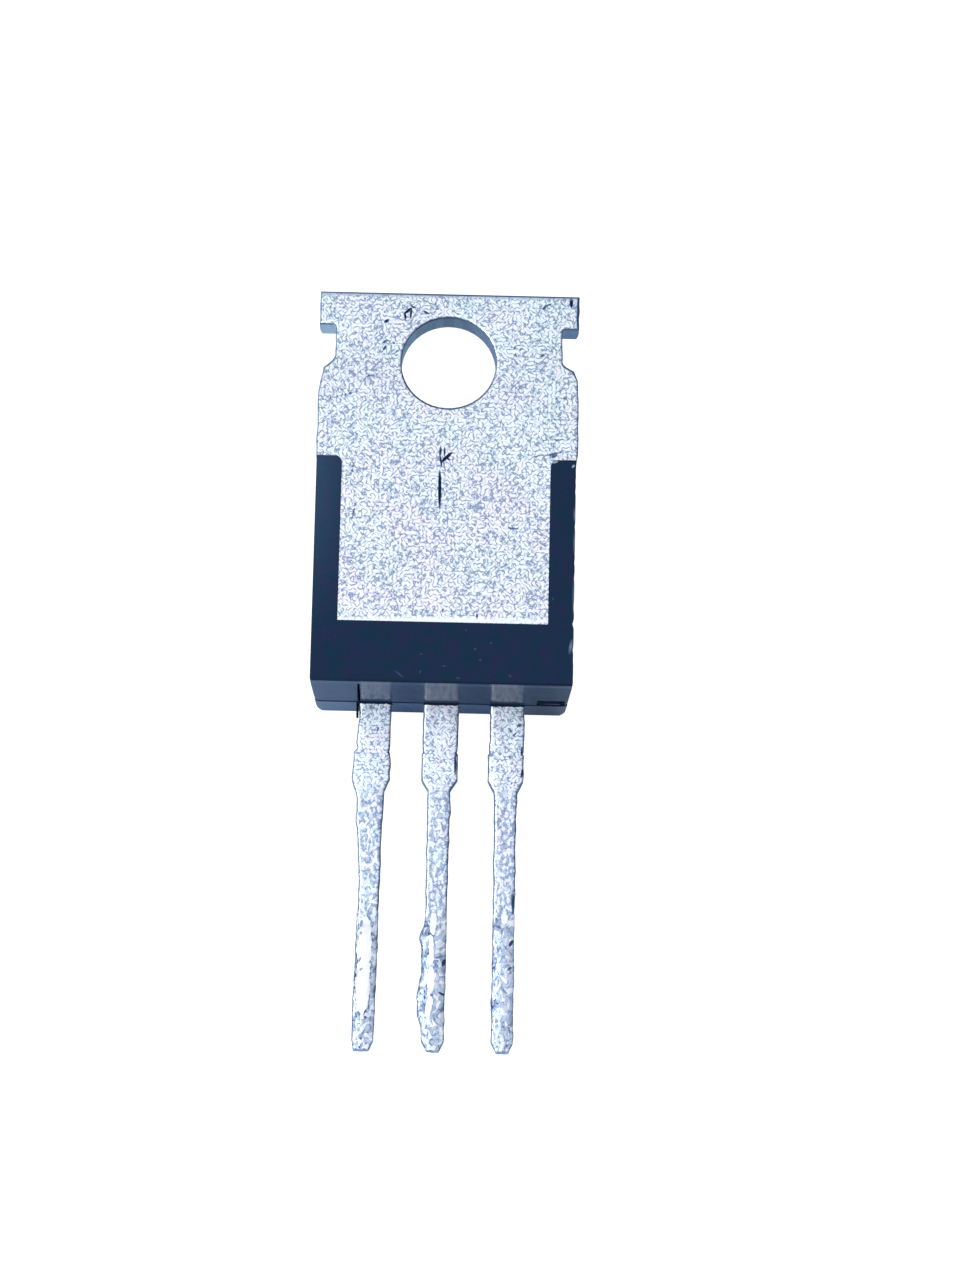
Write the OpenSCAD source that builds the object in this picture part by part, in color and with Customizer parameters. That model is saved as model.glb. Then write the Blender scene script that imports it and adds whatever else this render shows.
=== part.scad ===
// Power transistor with three leads, a metal mounting tab and a moulded body.
// The heatsink face lies in the plane z = 0 and looks along +Z, and the origin is the
// centre of the mounting hole in that face. The leads run towards -Y and the moulded
// body hangs on the -Z side. Left and right are as seen when looking at the heatsink face.

/* [Tab] */
// Thickness of the tab and of the pad that it runs into
tab_t = 1.3; // [1.1:0.01:1.5]
// Width across the two ears at the free end of the tab
ear_w = 10.05; // [9.7:0.01:10.6]
// Width of the tab between its side notches and the moulded body
tab_w = 10; // [9.6:0.01:10.6]
// Diameter of the mounting hole
hole_d = 3.65; // [3.2:0.01:4]
// Distance from the hole's centre to the free end of the tab
hole_to_end = 2.8; // [2.5:0.01:3.4]
// Distance from the hole's centre to the underside of the ears
hole_to_ear = 1.45; // [1:0.01:1.7]
// Depth of each side notch, measured in from the ear
notch_depth = 0.64; // [0.3:0.01:0.9]
// Length of the straight floor of the left notch
left_notch_l = 1.18; // [0.8:0.01:1.6]
// Length of the straight floor of the right notch
right_notch_l = 1.3; // [0.8:0.01:1.6]
// Radius of the inner corner under each ear
notch_corner_r = 0.12; // [0.05:0.01:0.25]
// Length of the curve from the left notch out to its shoulder
left_shoulder_l = 0.54; // [0.2:0.01:0.7]
// How far the left shoulder stands out of the notch
left_shoulder_w = 0.45; // [0.3:0.01:0.55]
// Distance from the left notch to where the edge is back at the full width
left_flare_l = 1.5; // [0.75:0.01:1.8]
// Length of the curve from the right notch out to its shoulder
right_shoulder_l = 0.38; // [0.2:0.01:0.6]
// How far the right shoulder stands out of the notch
right_shoulder_w = 0.47; // [0.3:0.01:0.55]
// Distance from the right notch to where the edge is back at the full width
right_flare_l = 0.75; // [0.65:0.01:1.8]
// Distance from the hole's centre to the upper end of the moulded body
hole_to_mould = 3.85; // [3.6:0.01:4.4]

/* [Pad under the mould] */
// Width of the pad that stays bare on the heatsink face
pad_w = 8.03; // [7:0.01:8.4]
// Length of the bare pad below the upper end of the moulded body
pad_l = 6.52; // [5.5:0.01:7.5]
// Radius where the pad's sides run into the full width of the tab
pad_fillet_r = 0.27; // [0.1:0.01:0.4]
// How far the locking ledge stands out of the pad's edges, inside the mould
ledge_w = 0.3; // [0.1:0.01:0.4]
// Thickness of the locking ledge
ledge_t = 0.45; // [0.3:0.01:0.7]

/* [Moulded body] */
// Thickness of the whole part, from the heatsink face to the front face
package_t = 4.5; // [4.2:0.01:5]
// Width of the moulded body on the heatsink face
mould_w = 9.97; // [9.6:0.01:10.6]
// Length of the moulded body below the pad, on the heatsink face
apron_l = 2.36; // [2.2:0.01:3]
// Depth of the parting line, which is also the upper face of the leads
parting_depth = 2.53; // [2.35:0.01:2.8]
// Draft of the two long sides
side_draft = 3.2; // [1:0.1:5]
// Draft of the tab end, and of the lead end behind the parting line
end_draft = 4.2; // [1:0.1:5]
// Draft of the lead end in front of the parting line
front_draft = 1.8; // [0.5:0.1:5]
// Radius of the two corners beside the leads
mould_corner_r = 0.34; // [0.1:0.01:0.6]
// Radius of the edges round the front face
front_edge_r = 0.16; // [0.05:0.01:0.4]
// Length of the scar that the moulding gate left on the lead end
gate_l = 1.07; // [0.6:0.01:1.3]
// Height of the gate scar above the parting line
gate_h = 0.56; // [0.3:0.01:0.9]
// Depth of the gate scar
gate_depth = 0.07; // [0.03:0.01:0.15]
// Distance from the gate scar to the right side of the body
gate_inset = 0.1; // [0.05:0.01:0.4]
// Length of the thin flash that stands beside the left lead
flash_l = 0.55; // [0.2:0.01:1]
// Width of the flash
flash_w = 0.08; // [0.04:0.01:0.15]

/* [Leads] */
// Distance between the centres of neighbouring leads
lead_pitch = 2.54; // [2.45:0.01:2.65]
// Thickness of the leads
lead_t = 0.5; // [0.4:0.01:0.65]
// Width of the leads where they leave the body
root_w = 1.25; // [1:0.01:1.5]
// Length of the wide root up to the stubs of the cut tie bar
root_l = 1.99; // [1.5:0.01:2.5]
// Length of the stubs of the cut tie bar, along the lead
stub_l = 1; // [0.6:0.01:1.3]
// How far the stubs stand out of the leads' edges
stub_h = 0.07; // [0.02:0.01:0.15]
// How far the long stub on the left edge of pin 3 stands out
long_stub_h = 0.2; // [0.02:0.01:0.3]
// Length of the taper between the stubs and the narrow blade
taper_l = 0.45; // [0.2:0.01:0.8]
// Width of the blade at its upper end, below the taper
blade_top_w = 0.88; // [0.7:0.01:1]
// Length over which the blade narrows from there
blade_narrow_l = 3.4; // [1:0.1:4]
// Width of the narrow blade
blade_w = 0.77; // [0.6:0.01:0.9]
// How far old tin spills past the upper end of pin 3's blade, on its left edge
spill_w = 0.22; // [0:0.01:0.25]
// Length of the leads outside the body
lead_l = 13.42; // [11:0.01:15]
// Width of the cut tip
tip_w = 0.42; // [0.3:0.01:0.6]
// Length of the pointed tip
tip_l = 0.36; // [0.2:0.01:0.6]
// Sideways lean of pin 1 at its tip
pin_1_lean = 0.05; // [-0.3:0.01:0.3]
// Sideways lean of pin 2 at its tip
pin_2_lean = -0.02; // [-0.3:0.01:0.3]
// Sideways lean of pin 3 at its tip
pin_3_lean = -0.13; // [-0.3:0.01:0.3]
// Width of the inner ends of the outer leads, which hold them in the body
post_w = 2.2; // [1.6:0.01:2.3]
// Length of these inner ends
post_l = 1.4; // [1:0.01:1.6]
// Width of the neck that joins the middle lead to the pad
neck_w = 1.4; // [1.2:0.01:1.6]

/* [Solder] */
// Length of the solder coat on the lead ends
coat_l = 5.3; // [3:0.01:7]
// Thickness of the coat on the leads' edges
coat_edge_t = 0.03; // [0.02:0.01:0.06]
// How far the coat crowns up in the middle of the leads' faces
coat_crown_h = 0.08; // [0.03:0.01:0.15]

/* [Hidden] */

tin_colour = "#d4dfea";
solder_colour = "#c3d1e2";
plastic_colour = "#1c2e47";

$fn = 96;
shoulder_steps = 6;
arc_steps = 6;
overcut = 1;

// Each flare of the tab is [length of its notch, length and width of its shoulder, length]
left_flare = [left_notch_l, left_shoulder_l, left_shoulder_w, left_flare_l];
right_flare = [right_notch_l, right_shoulder_l, right_shoulder_w, right_flare_l];

// Levels and ends along Y
mould_start = -hole_to_mould;
pad_end = mould_start - pad_l;
mould_back_end = pad_end - apron_l;
mould_parting_end = mould_back_end - parting_depth * tan(end_draft);
mould_front_end = mould_parting_end + (package_t - parting_depth) * tan(front_draft);
mould_front_start = mould_start - (package_t - tab_t) * tan(end_draft);

// Distances down a lead, measured from where it leaves the body
stub_start = root_l;
stub_end = stub_start + stub_l;
blade_start = stub_end + taper_l;
blade_full = blade_start + blade_narrow_l;
blade_end = lead_l - tip_l;

// The neck of the middle lead steps down from the pad to the parting plane
neck_grip = 0.3;
neck_flat = 0.15;
neck_top_z = lead_t - tab_t;
neck_drop = parting_depth + neck_top_z;
neck_run = apron_l - 2 * neck_flat;
neck_angle = atan2(neck_drop, neck_run);
neck_shift = lead_t * tan(neck_angle / 2);

// Each edge of a lead is [height of its stub, width of the tin that spills past its blade]
plain_edge = [stub_h, 0];
spilt_edge = [long_stub_h, spill_w];

// Each pin is [place across the body, lean of its tip, left edge, right edge]
pin_1 = [lead_pitch, pin_1_lean, plain_edge, plain_edge];
pin_2 = [0, pin_2_lean, plain_edge, plain_edge];
pin_3 = [-lead_pitch, pin_3_lean, spilt_edge, plain_edge];

// Solder lumps are [side, distance from the tip, height, half length], with side -1 for
// the left edge, 1 for the right edge and 0 for both faces
pin_1_lumps = [
    [-1, 1.9, 0.03, 0.5],
    [-1, 3.3, 0.02, 0.4],
    [0, 1.3, 0.05, 0.5],
    [0, 3.4, 0.06, 0.6],
    [0, 4.6, 0.05, 0.3]
];
pin_2_lumps = [
    [-1, 4.35, 0.2, 0.34],
    [-1, 3.5, 0.08, 0.5],
    [-1, 1.9, 0.24, 0.95],
    [0, 1.2, 0.06, 0.7],
    [0, 3.2, 0.08, 0.9],
    [0, 4.6, 0.06, 0.5]
];
pin_3_lumps = [
    [-1, 1.5, 0.03, 0.7],
    [0, 0.9, 0.05, 0.5],
    [0, 2.6, 0.07, 1.1],
    [0, 4.3, 0.06, 0.5]
];

// Rings along a solder coat, and steps across its crowned faces
coat_rings = 30;
crown_steps = 6;
coat_sides = 2 * (crown_steps + 3);

// The crown is lower at the two ends of the coat, by this share
crown_end_share = 0.4;

// Points of an arc about a centre
function arc_points(centre, radius, from, to) = [
    for (i = [0:arc_steps])
        let (angle = from + (to - from) * i / arc_steps)
        centre + radius * [cos(angle), sin(angle)]
];

// Points of a mirrored copy of an outline, in the other order so that they join on
function mirrored(points) = [
    for (i = [len(points) - 1:-1:0]) [-points[i][0], points[i][1]]
];

// One side of the tab and pad, for x > 0, from the free end down to the pad's end
function tab_side(flare) =
    let (
        notch_x = ear_w / 2 - notch_depth,
        notch_end = hole_to_ear - flare[0],
        corner = [notch_x + notch_corner_r, hole_to_ear - notch_corner_r],
        fillet = [pad_w / 2 + pad_fillet_r, mould_start - pad_fillet_r]
    )
    concat(
        [[ear_w / 2, hole_to_end], [ear_w / 2, hole_to_ear]],
        arc_points(corner, notch_corner_r, 90, 180),
        [for (i = [0:shoulder_steps])
            let (share = i / shoulder_steps)
            [notch_x + flare[2] * (1 - cos(90 * share)), notch_end - flare[1] * share]
        ],
        [[tab_w / 2, notch_end - flare[3]], [tab_w / 2, mould_start]],
        arc_points(fillet, pad_fillet_r, 90, 180),
        [[pad_w / 2, pad_end]]
    );

// Half width of a lead at a distance down from the body, on the side with the given edge
function half_widths(edge) = [
    [0, root_w / 2],
    [stub_start - edge[0], root_w / 2],
    [stub_start, root_w / 2 + edge[0]],
    [stub_end, root_w / 2 + edge[0]],
    [blade_start, blade_top_w / 2 + edge[1]],
    [blade_full, blade_w / 2],
    [blade_end, blade_w / 2],
    [lead_l, tip_w / 2]
];

// Middle of a lead at a distance down from the body
function middle(pin, down) =
    pin[0] + pin[1] * max(0, down - blade_start) / (lead_l - blade_start);

// Outline of a lead's outer part, with its root reaching into the body
function lead_outline(pin) =
    let (left = half_widths(pin[2]), right = half_widths(pin[3]))
    concat(
        [[pin[0] - root_w / 2, mould_back_end + neck_flat]],
        [for (p = left) [middle(pin, p[0]) - p[1], mould_parting_end - p[0]]],
        [for (i = [len(right) - 1:-1:0])
            [middle(pin, right[i][0]) + right[i][1], mould_parting_end - right[i][0]]],
        [[pin[0] + root_w / 2, mould_back_end + neck_flat]]
    );

// Height that the lumps of one side add at a distance from the tip
function lump_height(lumps, side, from_tip) =
    [for (lump = lumps) lump[0] == side ? lump[2] * exp(-pow((from_tip - lump[1]) / lump[3], 2)) : 0]
    * [for (lump = lumps) 1];

// One ring of a solder coat round a lead: two straight edges and two crowned faces
function coat_ring(pin, lumps, ring) =
    let (
        from_tip = coat_l * ring / coat_rings,
        down = lead_l - from_tip,
        left = lookup(down, half_widths(pin[2])) + lump_height(lumps, -1, from_tip),
        right = lookup(down, half_widths(pin[3])) + lump_height(lumps, 1, from_tip),
        fullness = crown_end_share + (1 - crown_end_share) * sin(180 * ring / coat_rings),
        crown = coat_crown_h * fullness + lump_height(lumps, 0, from_tip),
        half_t = lead_t / 2,
        upper = concat(
            [[right + coat_edge_t, half_t]],
            [for (i = [0:crown_steps])
                let (share = 1 - 2 * i / crown_steps)
                [share * (share < 0 ? left : right), half_t + coat_edge_t + crown * (1 - share * share)]
            ],
            [[-left - coat_edge_t, half_t]]
        ),
        lower = [for (i = [len(upper) - 1:-1:0]) [upper[i][0], -upper[i][1]]]
    )
    [for (point = concat(upper, lower))
        [
            middle(pin, down) + point[0],
            mould_parting_end - down - (ring == 0 ? coat_edge_t : 0),
            point[1] - parting_depth - half_t
        ]
    ];

module tab_outline() {
    polygon(concat(
        tab_side(right_flare),
        mirrored(tab_side(left_flare))
    ));
}

// Bar that spans from_y to to_y in a layer from low_z to high_z, centred on mid_x
module bar(mid_x, width, from_y, to_y, low_z, high_z) {
    translate([mid_x - width / 2, min(from_y, to_y), low_z])
        cube([width, abs(to_y - from_y), high_z - low_z]);
}

module tab_with_hole() {
    difference() {
        translate([0, 0, -tab_t])
            linear_extrude(tab_t)
                tab_outline();
        translate([0, 0, -tab_t - overcut])
            cylinder(d = hole_d, h = tab_t + 2 * overcut);
    }
    bar(0, pad_w + 2 * ledge_w, mould_start, pad_end - ledge_w, -tab_t, -tab_t + ledge_t);
}

// Sweeps a profile of [y, z] points along X, centred
module swept_across(width, profile) {
    translate([width / 2, 0, 0])
        rotate([0, -90, 0])
            linear_extrude(width)
                polygon([for (p = profile) [p[1], p[0]]]);
}

// Sweeps a profile of [x, z] points along Y between two places
module swept_along(from_y, to_y, profile) {
    translate([0, max(from_y, to_y), 0])
        rotate([90, 0, 0])
            linear_extrude(abs(to_y - from_y))
                polygon(profile);
}

module neck() {
    bend_start = pad_end - neck_flat;
    bend_end = bend_start - neck_run;
    swept_across(neck_w, [
        [pad_end + neck_grip, neck_top_z],
        [bend_start, neck_top_z],
        [bend_end, -parting_depth],
        [mould_back_end, -parting_depth],
        [mould_back_end, -parting_depth - lead_t],
        [bend_end + neck_shift, -parting_depth - lead_t],
        [bend_start + neck_shift, neck_top_z - lead_t],
        [pad_end + neck_grip, neck_top_z - lead_t]
    ]);
}

module blade(pin) {
    translate([0, 0, -parting_depth - lead_t])
        linear_extrude(lead_t)
            polygon(lead_outline(pin));
}

module post(pin) {
    post_end = mould_back_end + neck_flat;
    bar(pin[0], post_w, post_end, post_end + post_l, -parting_depth - lead_t, -parting_depth);
}

module solder_coat(pin, lumps) {
    rings = [for (ring = [0:coat_rings]) coat_ring(pin, lumps, ring)];
    last = coat_rings * coat_sides;
    walls = [
        for (ring = [0:coat_rings - 1], i = [0:coat_sides - 1])
            let (
                here = ring * coat_sides,
                next = (i + 1) % coat_sides
            )
            each [
                [here + i, here + next, here + coat_sides + next],
                [here + i, here + coat_sides + next, here + coat_sides + i]
            ]
    ];
    tip_face = [for (i = [coat_sides - 1:-1:0]) i];
    top_face = [for (i = [0:coat_sides - 1]) last + i];
    difference() {
        polyhedron([for (ring = rings) each ring], concat(walls, [tip_face, top_face]));
        blade(pin);
    }
}

// Distance from the middle to a long side of the body at level z
function side_at(z) = mould_w / 2 + z * tan(side_draft);

module body_block() {
    round_z = front_edge_r - package_t;
    side_round = [side_at(round_z) - front_edge_r / cos(side_draft), round_z];
    half_section = concat(
        [[mould_w / 2, 0]],
        arc_points(side_round, front_edge_r, -side_draft, -90)
    );
    start_round = [mould_front_start - front_edge_r, round_z];
    end_round = [mould_front_end + front_edge_r, round_z];
    corner = [mould_w / 2 - mould_corner_r, mould_parting_end + mould_corner_r];
    half_outline = concat(
        [[mould_w / 2, mould_start]],
        arc_points(corner, mould_corner_r, 0, -90)
    );
    intersection() {
        swept_along(mould_start, mould_parting_end, concat(half_section, mirrored(half_section)));
        swept_across(mould_w, concat(
            [[mould_back_end, 0], [mould_parting_end, -parting_depth]],
            arc_points(end_round, front_edge_r, 180 + front_draft, 270),
            arc_points(start_round, front_edge_r, -90, -end_draft),
            [[mould_start, -tab_t], [mould_start, 0]]
        ));
        translate([0, 0, -package_t])
            linear_extrude(package_t)
                polygon(concat(half_outline, mirrored(half_outline)));
    }
}

module gate_scar() {
    right = side_at(-parting_depth) - gate_inset;
    translate([right - gate_l, mould_parting_end, -parting_depth])
        rotate([-end_draft, 0, 0])
            translate([0, -overcut, 0])
                cube([gate_l, overcut + gate_depth, gate_h]);
}

module flash() {
    bar(
        pin_3[0] - (root_w + flash_w) / 2,
        flash_w,
        mould_parting_end - flash_l,
        mould_back_end + neck_flat,
        -parting_depth - lead_t,
        -parting_depth
    );
}

module outer_lead(pin) {
    post(pin);
    blade(pin);
}

module tab_and_pin_2_lead() {
    color(tin_colour) {
        tab_with_hole();
        neck();
        blade(pin_2);
    }
}

module pin_1_lead() {
    color(tin_colour)
        outer_lead(pin_1);
}

module pin_3_lead() {
    color(tin_colour)
        outer_lead(pin_3);
}

module moulded_body() {
    color(plastic_colour)
        difference() {
            union() {
                body_block();
                flash();
            }
            gate_scar();
            tab_and_pin_2_lead();
            pin_1_lead();
            pin_3_lead();
        }
}

module pin_1_solder() {
    color(solder_colour)
        solder_coat(pin_1, pin_1_lumps);
}

module pin_2_solder() {
    color(solder_colour)
        solder_coat(pin_2, pin_2_lumps);
}

module pin_3_solder() {
    color(solder_colour)
        solder_coat(pin_3, pin_3_lumps);
}

tab_and_pin_2_lead();
pin_1_lead();
pin_3_lead();
moulded_body();
pin_1_solder();
pin_2_solder();
pin_3_solder();
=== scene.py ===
# %% [markdown]
# # A power transistor, seen from its heatsink side
#
# The real part is a stamped metal strip with a black body moulded round it. One end of
# the strip is a thick tab with a screw hole, and the other end is cut into flat leads.
# The exact pieces come from the CAD frame. This lesson gives them their worn edges,
# their dents, their old solder and their finishes.

import math

import bpy
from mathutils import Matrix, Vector, noise
from mathutils.bvhtree import BVHTree


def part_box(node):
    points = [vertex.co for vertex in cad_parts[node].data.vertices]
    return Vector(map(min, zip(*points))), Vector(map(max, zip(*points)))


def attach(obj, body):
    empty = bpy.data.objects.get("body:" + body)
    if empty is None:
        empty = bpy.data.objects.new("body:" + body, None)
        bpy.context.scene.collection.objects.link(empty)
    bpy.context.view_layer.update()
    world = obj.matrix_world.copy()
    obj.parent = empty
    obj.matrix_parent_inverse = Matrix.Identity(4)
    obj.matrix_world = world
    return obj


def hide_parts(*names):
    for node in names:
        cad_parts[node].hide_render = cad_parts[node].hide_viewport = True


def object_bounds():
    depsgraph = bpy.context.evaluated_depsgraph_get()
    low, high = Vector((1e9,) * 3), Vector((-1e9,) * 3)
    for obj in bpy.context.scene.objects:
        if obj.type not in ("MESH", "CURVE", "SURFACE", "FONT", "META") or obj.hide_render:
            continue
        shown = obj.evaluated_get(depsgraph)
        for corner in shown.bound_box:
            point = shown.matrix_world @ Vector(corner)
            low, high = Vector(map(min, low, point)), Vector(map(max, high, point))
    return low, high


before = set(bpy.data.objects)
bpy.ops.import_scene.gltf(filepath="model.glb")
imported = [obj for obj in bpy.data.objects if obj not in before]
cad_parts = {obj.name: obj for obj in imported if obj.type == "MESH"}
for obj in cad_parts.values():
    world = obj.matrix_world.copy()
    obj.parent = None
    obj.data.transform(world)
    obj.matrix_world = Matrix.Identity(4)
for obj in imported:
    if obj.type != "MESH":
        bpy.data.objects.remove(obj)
cad_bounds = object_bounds()
MM = 0.001
print("nodes:", sorted(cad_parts))


# %% [markdown]
# ## The view
#
# The part lies on its front face and the camera looks down on it, a little from the lead
# side. A short lens close by would show the same faces, but it would swell the near ones.
# A long lens keeps the edges nearly parallel, as in a close-up of a small part.

# %% Camera
CAMERA_PLACE_MM = (0.556, -48.26, 146.985)
CAMERA_TURN = (14.206, -0.635, 1.161)
SENSOR_MM = 36.0
LENS_MM = 112.5
NEAREST_MM = 10
FURTHEST_MM = 2000


def add_camera():
    """Long lens above the part, tipped towards the leads."""
    data = bpy.data.cameras.new("camera")
    data.sensor_width = SENSOR_MM
    data.lens = LENS_MM
    data.clip_start = NEAREST_MM * MM
    data.clip_end = FURTHEST_MM * MM
    camera = bpy.data.objects.new("camera", data)
    bpy.context.scene.collection.objects.link(camera)
    camera.location = Vector(CAMERA_PLACE_MM) * MM
    camera.rotation_euler = [math.radians(turn) for turn in CAMERA_TURN]
    bpy.context.scene.camera = camera


add_camera()
print("camera height in mm:", CAMERA_PLACE_MM[2])


# %% [markdown]
# ## Shader maths
#
# A finish is a chain of shader nodes. They could be added and linked one by one, which
# takes two lines for each. Here a Wire stands for the output of a node, and arithmetic on
# wires adds the next node, so that 1 - mask is a Subtract node and can be read as such.

# %% Shader wires
def set_stops(ramp, stops):
    """Sets a colour ramp's stops, each a place and a colour."""
    while len(ramp.elements) < len(stops):
        ramp.elements.new(0.5)
    for element, (place, colour) in zip(ramp.elements, stops):
        element.position = place
        element.color = colour


class Wire:
    """One output socket of a shader node. Arithmetic on wires adds Math nodes."""

    def __init__(self, socket):
        self.socket = socket
        self.tree = socket.id_data

    @staticmethod
    def add(tree, kind, settings=None, inputs=None, output=0):
        """Adds a shader node of any kind and gives the wire of one of its outputs."""
        node = tree.nodes.new("ShaderNode" + kind)
        for name, value in (settings or {}).items():
            if name == "stops":
                set_stops(node.color_ramp, value)
            else:
                setattr(node, name, value)
        for name, value in (inputs or {}).items():
            if isinstance(value, Wire):
                tree.links.new(value.socket, node.inputs[name])
            else:
                node.inputs[name].default_value = value
        return Wire(node.outputs[output])

    def node(self, kind, settings=None, inputs=None, output=0):
        """Adds a node of any kind to this wire's own tree."""
        return Wire.add(self.tree, kind, settings, inputs, output)

    def maths(self, operation, *values):
        return self.node("Math", {"operation": operation}, dict(enumerate(values)))

    def __add__(self, other):
        return self.maths("ADD", self, other)

    def __sub__(self, other):
        return self.maths("SUBTRACT", self, other)

    def __rsub__(self, other):
        return self.maths("SUBTRACT", other, self)

    def __mul__(self, other):
        return self.maths("MULTIPLY", self, other)

    def __truediv__(self, other):
        return self.maths("DIVIDE", self, other)

    __radd__ = __add__
    __rmul__ = __mul__

    def __abs__(self):
        return self.maths("ABSOLUTE", self)

    def at_least(self, other):
        """The larger of this wire and another wire or number."""
        return self.maths("MAXIMUM", self, other)

    def step(self, low, high):
        """Smooth step from 0 at low to 1 at high."""
        settings = {"interpolation_type": "SMOOTHSTEP"}
        return self.node("MapRange", settings, {"Value": self, "From Min": low, "From Max": high})

    def between(self, first, second):
        """Colour that goes from first to second as this wire goes from 0 to 1."""
        return self.node("Mix", {"data_type": "RGBA"}, {0: self, 6: first, 7: second}, 2)

    def tinted(self, tint):
        """This colour multiplied by a tint."""
        settings = {"data_type": "RGBA", "blend_type": "MULTIPLY"}
        return self.node("Mix", settings, {0: 1.0, 6: self, 7: tint}, 2)

    def ramp(self, stops):
        """Colour from a ramp, read at this wire's value."""
        return self.node("ValToRGB", {"stops": stops}, {0: self})

    def vector_maths(self, operation, inputs):
        return self.node("VectorMath", {"operation": operation}, inputs)


def srgb(red, green, blue):
    """Colour from display values of 0 to 255."""
    shares = [value / 255 for value in (red, green, blue)]
    linear = [((share + 0.055) / 1.055) ** 2.4 if share > 0.04 else share / 12.92 for share in shares]
    return (*linear, 1.0)


WHITE = (1.0, 1.0, 1.0, 1.0)
print("middle grey of a display in the shader's numbers:", srgb(128, 128, 128))


# %% [markdown]
# ## The light
#
# Metal shows what it mirrors, so lamps alone would leave it black between their glints.
# A wide sky lights it instead, bright overhead and dim at the horizon, so that a face is
# pale and a turned edge is dark. One round lamp at the left picks out the left edges. The
# camera itself sees plain white behind the part.

# %% Sky
HORIZON = 0.1
ZENITH = 0.95
HORIZON_GLOW = (0.13, 0.17, 0.23, 1.0)
ZENITH_GLOW = (0.96, 0.99, 1.05, 1.0)


def white_to_the_eye(tree, seen, unseen):
    """Joins two shaders: the camera sees the first, and every other ray meets the second."""
    eye = Wire.add(tree, "LightPath", output="Is Camera Ray")
    return eye.node("MixShader", inputs={0: eye, 1: unseen, 2: seen})


def add_world():
    """Cool overhead light that fades towards the horizon, behind a plain white sky."""
    scene = bpy.context.scene
    scene.view_settings.view_transform = "Standard"
    world = bpy.data.worlds.new("studio")
    scene.world = world
    world.use_nodes = True
    tree = world.node_tree
    way = Wire.add(tree, "TexCoord", output="Generated")
    height = way.node("SeparateXYZ", inputs={0: way}, output="Z")
    glow = height.step(HORIZON, ZENITH).between(HORIZON_GLOW, ZENITH_GLOW)
    light = glow.node("Background", inputs={"Color": glow})
    sky = glow.node("Background", inputs={"Color": WHITE})
    both = white_to_the_eye(tree, sky, light)
    tree.links.new(both.socket, tree.nodes["World Output"].inputs["Surface"])


add_world()
print("sky fades from", ZENITH_GLOW[:3], "overhead to", HORIZON_GLOW[:3])

# %% Lamp
KEY_PLACE_MM = (-110, -30, 130)
KEY_SIZE_MM = 70
KEY_WATTS = 0.15
KEY_COLOUR = (0.92, 0.97, 1.0)


def add_softbox(name, place_mm, size_mm, watts, colour):
    """Round diffused lamp, turned towards the part."""
    data = bpy.data.lights.new(name, "AREA")
    data.shape = "DISK"
    data.size = size_mm * MM
    data.energy = watts
    data.color = colour
    light = bpy.data.objects.new(name, data)
    bpy.context.scene.collection.objects.link(light)
    light.location = Vector(place_mm) * MM
    light.rotation_euler = (-light.location).to_track_quat("-Z", "Y").to_euler()


add_softbox("key", KEY_PLACE_MM, KEY_SIZE_MM, KEY_WATTS, KEY_COLOUR)
print("key lamp at", KEY_PLACE_MM, "mm")


# %% [markdown]
# ## The floor
#
# The part lies on a plain white ground. White card would throw so much light up that the
# leads' undersides and the body's sides would go pale. So the floor is a light table:
# white to the eye, and dull to every other ray. It lies a hair below the part, because
# two faces at one height flicker.

# %% Floor
FLOOR_WIDTH = 3.0
FLOOR_GAP_MM = 0.01
FLOOR_DULL = (0.42, 0.53, 0.66, 1.0)
FLOOR_FAINT = (0.3, 0.3, 0.3, 1.0)
FLOOR_SHINE = 0.97


def add_floor():
    """A light table: white to the eye, and dull to every other ray. Gives its height."""
    bpy.ops.object.select_all(action="DESELECT")
    height = cad_bounds[0].z - FLOOR_GAP_MM * MM
    bpy.ops.mesh.primitive_plane_add(size=FLOOR_WIDTH, location=(0, 0, height))
    floor = bpy.context.object
    floor.name = "floor"
    material = bpy.data.materials.new("floor")
    material.use_nodes = True
    tree = material.node_tree
    tree.nodes.remove(tree.nodes["Principled BSDF"])
    dull = Wire.add(tree, "BsdfDiffuse", inputs={"Color": FLOOR_DULL})
    faint = dull.node("BsdfDiffuse", inputs={"Color": FLOOR_FAINT})
    shine = dull.node("Emission", inputs={"Color": WHITE, "Strength": FLOOR_SHINE})
    bright = dull.node("AddShader", inputs={0: faint, 1: shine})
    both = white_to_the_eye(tree, bright, dull)
    tree.links.new(both.socket, tree.nodes["Material Output"].inputs["Surface"])
    floor.data.materials.append(material)
    return height


print("floor height in mm:", add_floor() / MM)


# %% [markdown]
# ## The finishes
#
# Three finishes cover the part: tinned copper, old solder and black moulding compound.
# Painted maps could do it, but they would need an unwrapped mesh. Each finish is built
# from noise in millimetres on the object's own coordinates instead, so a pattern keeps
# its size and stays on the metal from every side. In the expressions that follow, a tone
# goes from 0, black, to 1, white, and the plain numbers on it are shares of that.

# %% Start of a material
SLANT_X = 0.8
SLANT_Y = 0.6


def new_material(name):
    """A material with its shader and a point in millimetres."""
    material = bpy.data.materials.new(name)
    material.use_nodes = True
    tree = material.node_tree
    shader = tree.nodes["Principled BSDF"]
    point = Wire.add(tree, "TexCoord", output="Object")
    return material, shader, point.vector_maths("SCALE", {0: point, "Scale": 1 / MM})


def set_sockets(shader, values):
    """Sets what is the same all over the surface."""
    for name, value in values.items():
        shader.inputs[name].default_value = value


def feed(shader, name, wire):
    """Lets a wire drive one socket of the shader."""
    shader.id_data.links.new(wire.socket, shader.inputs[name])


def feed_bump(shader, height, strength, depth_mm):
    """Lets a wire's hills and dips turn the surface's normal."""
    inputs = {"Strength": strength, "Distance": depth_mm * MM, "Height": height}
    feed(shader, "Normal", height.node("Bump", None, inputs, "Normal"))


def parts_of(vector):
    """The X, Y and Z wires of a vector."""
    return [vector.node("SeparateXYZ", inputs={0: vector}, output=i) for i in range(3)]


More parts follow.
